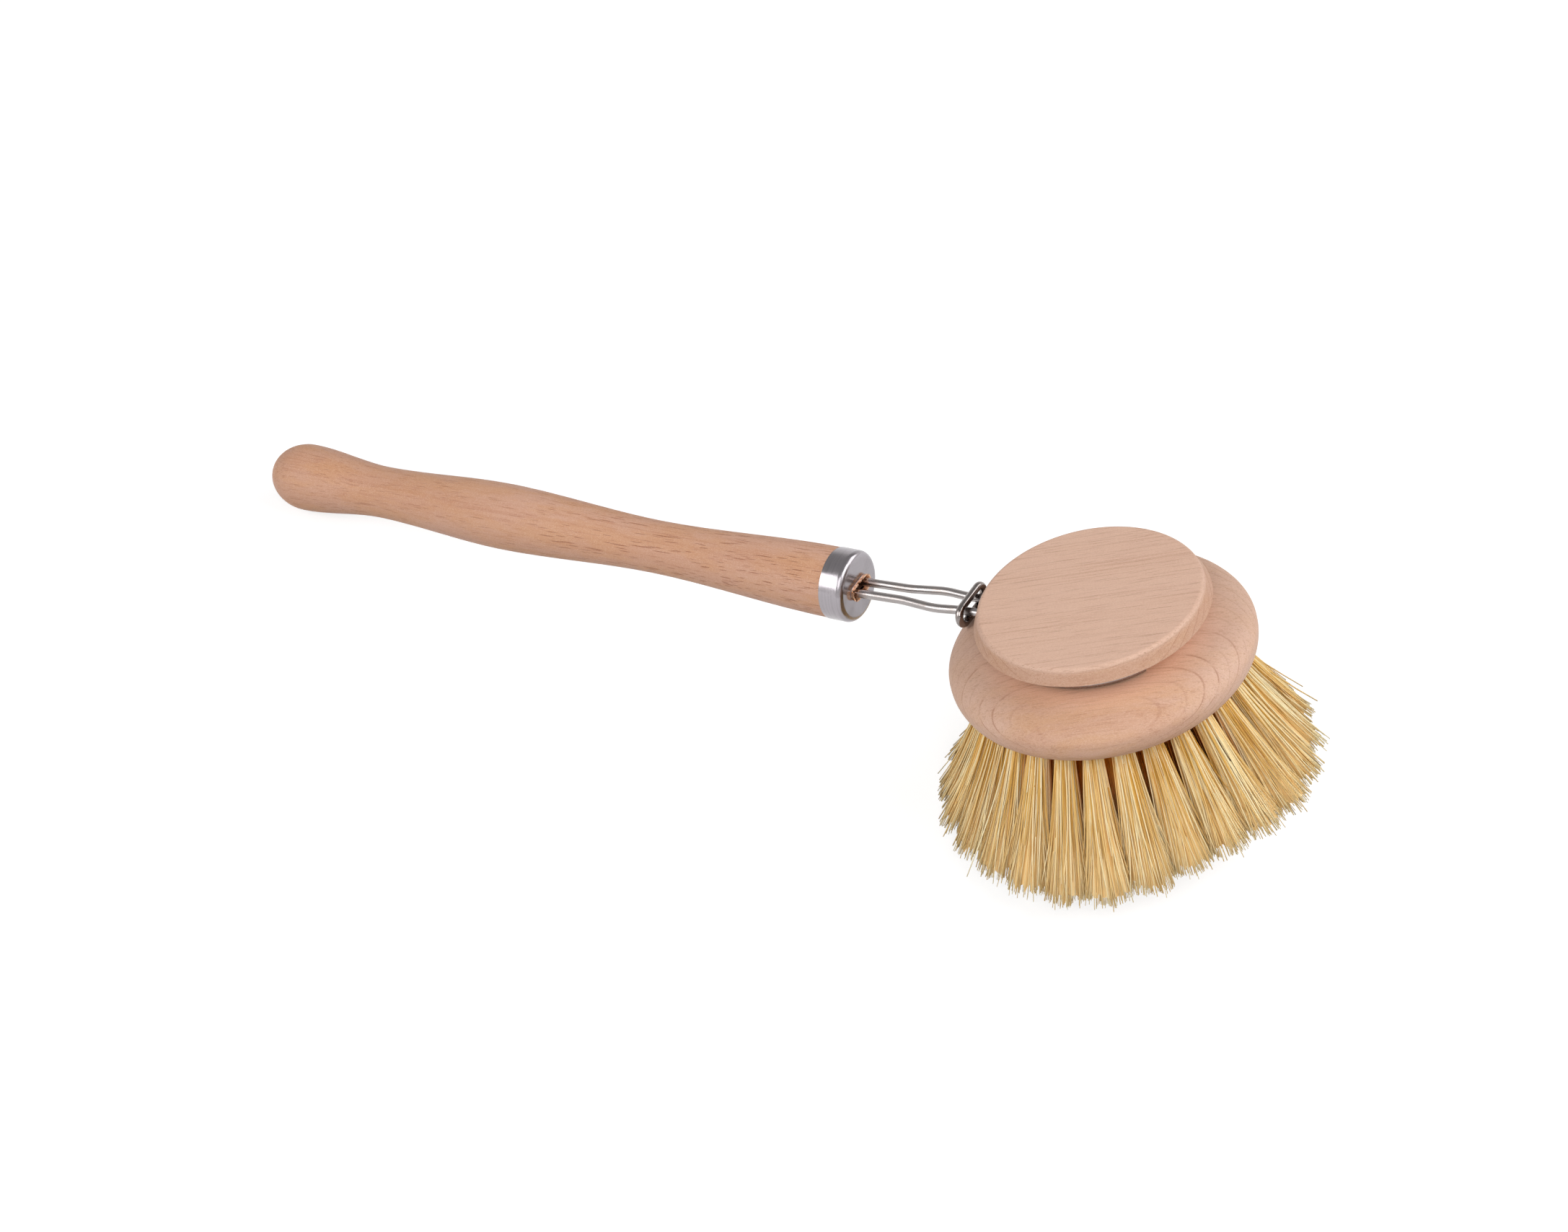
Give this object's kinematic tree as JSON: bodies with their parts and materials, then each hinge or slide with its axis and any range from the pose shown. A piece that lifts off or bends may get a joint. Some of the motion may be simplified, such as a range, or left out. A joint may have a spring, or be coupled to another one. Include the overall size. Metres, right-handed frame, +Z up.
{
  "type": "dish brush",
  "caption": "Washing-up brush with a turned wooden handle, a sprung wire neck with a locking ring, and a round exchangeable wooden head set with flared plant-fibre tufts.",
  "frame": {"origin": "on the surface that the brush lies on, below the middle of its box", "axes": "+X from the handle's end to the head, +Z up from the surface, the brush lying on its handle's end and its rear tufts"},
  "size_m": [0.2494, 0.0748, 0.0584],
  "materials": {
    "handle_beech": "untreated turned beech, fine dark flecks",
    "head_beech": "untreated turned beech, fine grain",
    "tinplate": "bright drawn tinplate",
    "spring_wire": "bright drawn wire",
    "ring_steel": "polished steel",
    "staple_wire": "flat steel wire",
    "fibre": "straw-coloured plant fibre"
  },
  "bodies": {
    "grip": {"handle": "handle_beech", "ferrule": "tinplate"},
    "left_arm": {"wire_arm_left": "spring_wire"},
    "right_arm": {"wire_arm_right": "spring_wire"},
    "ring": {"locking_ring": "ring_steel"},
    "head": {"head_block": "head_beech", "tuft_core_01": "fibre", "tuft_core_02": "fibre", "tuft_core_03": "fibre", "tuft_inner_01": "fibre", "tuft_inner_02": "fibre", "tuft_inner_03": "fibre", "tuft_inner_04": "fibre", "tuft_inner_05": "fibre", "tuft_inner_06": "fibre", "tuft_inner_07": "fibre", "tuft_inner_08": "fibre", "tuft_inner_09": "fibre", "tuft_middle_01": "fibre", "tuft_middle_02": "fibre", "tuft_middle_03": "fibre", "tuft_middle_04": "fibre", "tuft_middle_05": "fibre", "tuft_middle_06": "fibre", "tuft_middle_07": "fibre", "tuft_middle_08": "fibre", "tuft_middle_09": "fibre", "tuft_middle_10": "fibre", "tuft_middle_11": "fibre", "tuft_middle_12": "fibre", "tuft_middle_13": "fibre", "tuft_middle_14": "fibre", "tuft_middle_15": "fibre", "tuft_middle_16": "fibre", "tuft_outer_01": "fibre", "tuft_outer_02": "fibre", "tuft_outer_03": "fibre", "tuft_outer_04": "fibre", "tuft_outer_05": "fibre", "tuft_outer_06": "fibre", "tuft_outer_07": "fibre", "tuft_outer_08": "fibre", "tuft_outer_09": "fibre", "tuft_outer_10": "fibre", "tuft_outer_11": "fibre", "tuft_outer_12": "fibre", "tuft_outer_13": "fibre", "tuft_outer_14": "fibre", "tuft_outer_15": "fibre", "tuft_outer_16": "fibre", "tuft_outer_17": "fibre", "tuft_outer_18": "fibre", "tuft_outer_19": "fibre", "tuft_outer_20": "fibre", "tuft_outer_21": "fibre", "tuft_outer_22": "fibre", "tuft_outer_23": "fibre", "tuft_outer_24": "fibre", "tuft_outer_25": "fibre", "tuft_staples": "staple_wire"}
  },
  "joints": [
    {"name": "ring_slide", "type": "slide", "parent": "grip", "child": "ring", "axis": [-0.9725, 0, -0.2328], "range_m": [0, 0.024]},
    {"name": "left_arm_spring", "type": "hinge", "parent": "grip", "child": "left_arm", "pos_m": [0.02559, 0.00185, 0.03357], "axis": [-0.2328, 0, 0.9725], "range_deg": [0, 5]},
    {"name": "right_arm_spring", "type": "hinge", "parent": "grip", "child": "right_arm", "pos_m": [0.02559, -0.00185, 0.03357], "axis": [0.2328, 0, -0.9725], "range_deg": [0, 5]},
    {"name": "head_turn", "type": "hinge", "parent": "grip", "child": "head", "pos_m": [0.07917, 0, 0.0464], "axis": [-0.2328, 0, 0.9725], "continuous": true}
  ],
  "couplings": [
    {"joint": "left_arm_spring", "follows": "ring_slide", "rad_per_m": 3.636},
    {"joint": "right_arm_spring", "follows": "ring_slide", "rad_per_m": 3.636}
  ]
}
